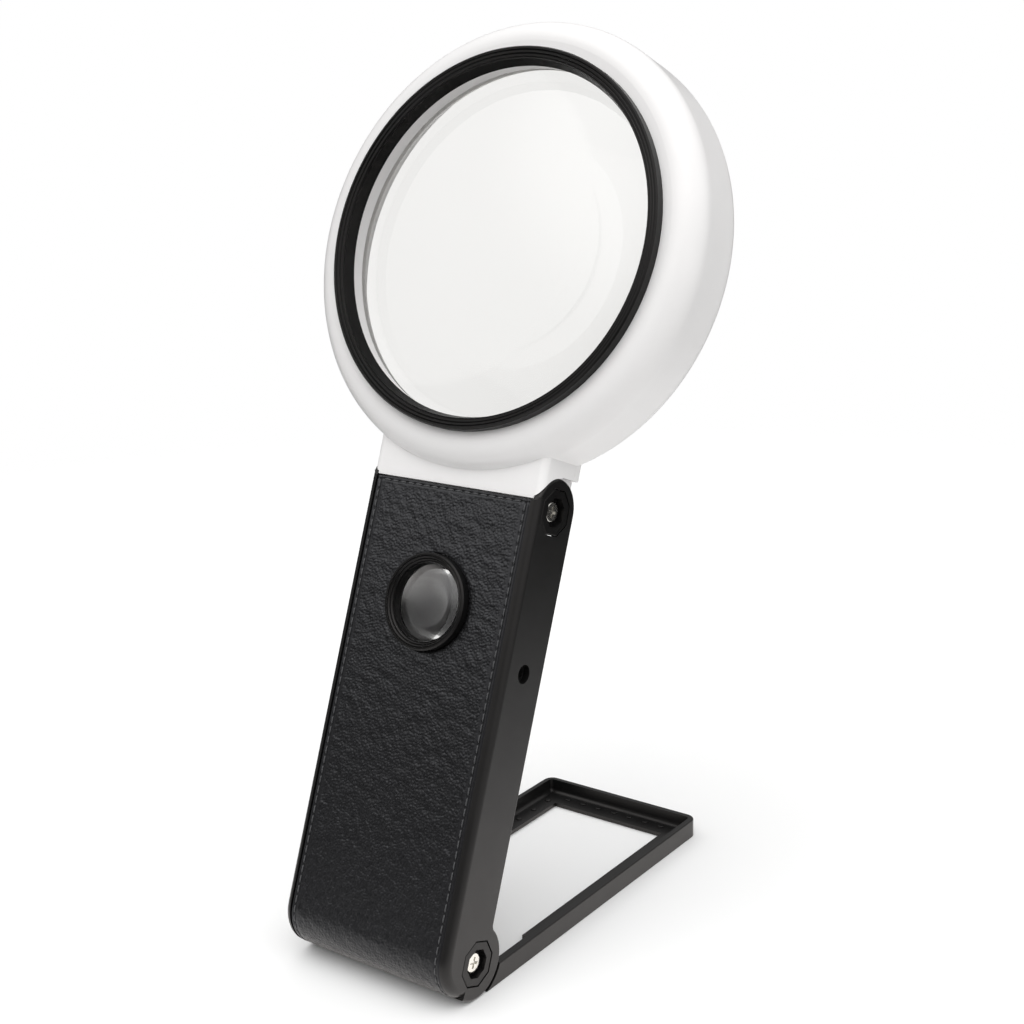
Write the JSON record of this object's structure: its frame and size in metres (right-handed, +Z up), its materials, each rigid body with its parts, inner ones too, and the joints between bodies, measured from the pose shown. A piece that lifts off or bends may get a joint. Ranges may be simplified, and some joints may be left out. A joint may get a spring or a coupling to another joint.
{
  "type": "low vision magnifier",
  "caption": "Folding illuminated magnifier: large lens head hinged on a leather-wrapped battery handle with a small lens, standing on a fold-out frame.",
  "frame": {"origin": "on the table plane, at the middle of the product's plan (its lower hinge axis is 62 mm nearer the front)", "axes": "+X to the viewer's right (the power socket's side), +Y rearward along the open stand, +Z up"},
  "size_m": [0.153, 0.1564, 0.3047],
  "materials": {
    "black_plastic": "fine matte moulded",
    "black_gloss": "satin black",
    "inner_black_plastic": "matte",
    "white_plastic": "glossy white",
    "black_leather": "pebbled grain",
    "screw_steel": "bright zinc",
    "spring_steel": "nickel plated",
    "cell_jacket": "plain printed jacket",
    "circuit_board": "solder mask",
    "lamp_clear": "clear epoxy",
    "lens_clear": "polished optical plastic",
    "washer_nylon": "nylon"
  },
  "bodies": {
    "handle": {"handle_front_shell": "black_plastic", "handle_rear_cover": "black_plastic", "cover_screws": "screw_steel", "leather_wrap": "black_leather", "battery_cells": "cell_jacket", "battery_contact_plates": "spring_steel", "battery_springs": "spring_steel", "circuit_board": "circuit_board", "dc_jack": "inner_black_plastic", "slide_switch_body": "inner_black_plastic", "spot_led": "lamp_clear", "small_lens_bezel": "black_gloss", "small_lens": "lens_clear", "small_lens_retainer": "inner_black_plastic", "small_lens_sleeve": "black_gloss", "upper_hinge_bushes": "black_gloss", "upper_hinge_washers": "washer_nylon", "lower_hinge_bushes": "black_gloss", "lower_hinge_screws": "screw_steel", "lower_hinge_washers": "washer_nylon"},
    "head": {"head_front_shell": "white_plastic", "head_rear_shell": "white_plastic", "main_lens": "lens_clear", "main_lens_bezel": "black_gloss", "lens_retaining_ring": "white_plastic", "led_board": "circuit_board", "head_leds": "lamp_clear", "head_screws": "screw_steel", "upper_hinge_screws": "screw_steel"},
    "stand": {"stand_frame": "black_plastic"},
    "battery_door": {"battery_door": "black_plastic"},
    "switch_knob": {"switch_knob": "black_plastic"}
  },
  "joints": [
    {"name": "stand_fold", "type": "hinge", "parent": "handle", "child": "stand", "pos_m": [0, -0.06225, 0.0124], "axis": [1, 0, 0], "range_deg": [0, 68.2], "stiffness_Nm_per_rad": 4, "springref_deg": -14.32},
    {"name": "head_tilt", "type": "hinge", "parent": "handle", "child": "head", "pos_m": [0, -0.01273, 0.15156], "axis": [-1, 0, 0], "range_deg": [0, 70], "stiffness_Nm_per_rad": 2, "springref_deg": -14.32},
    {"name": "battery_door_swing", "type": "hinge", "parent": "handle", "child": "battery_door", "pos_m": [0, -0.05083, 0.03099], "axis": [-1, 0, 0], "range_deg": [0, 85], "stiffness_Nm_per_rad": 0.01, "springref_deg": -11.46},
    {"name": "switch_slide", "type": "slide", "parent": "handle", "child": "switch_knob", "axis": [0, 0.3714, 0.9285], "range_m": [-0.0025, 0.0025]}
  ]
}
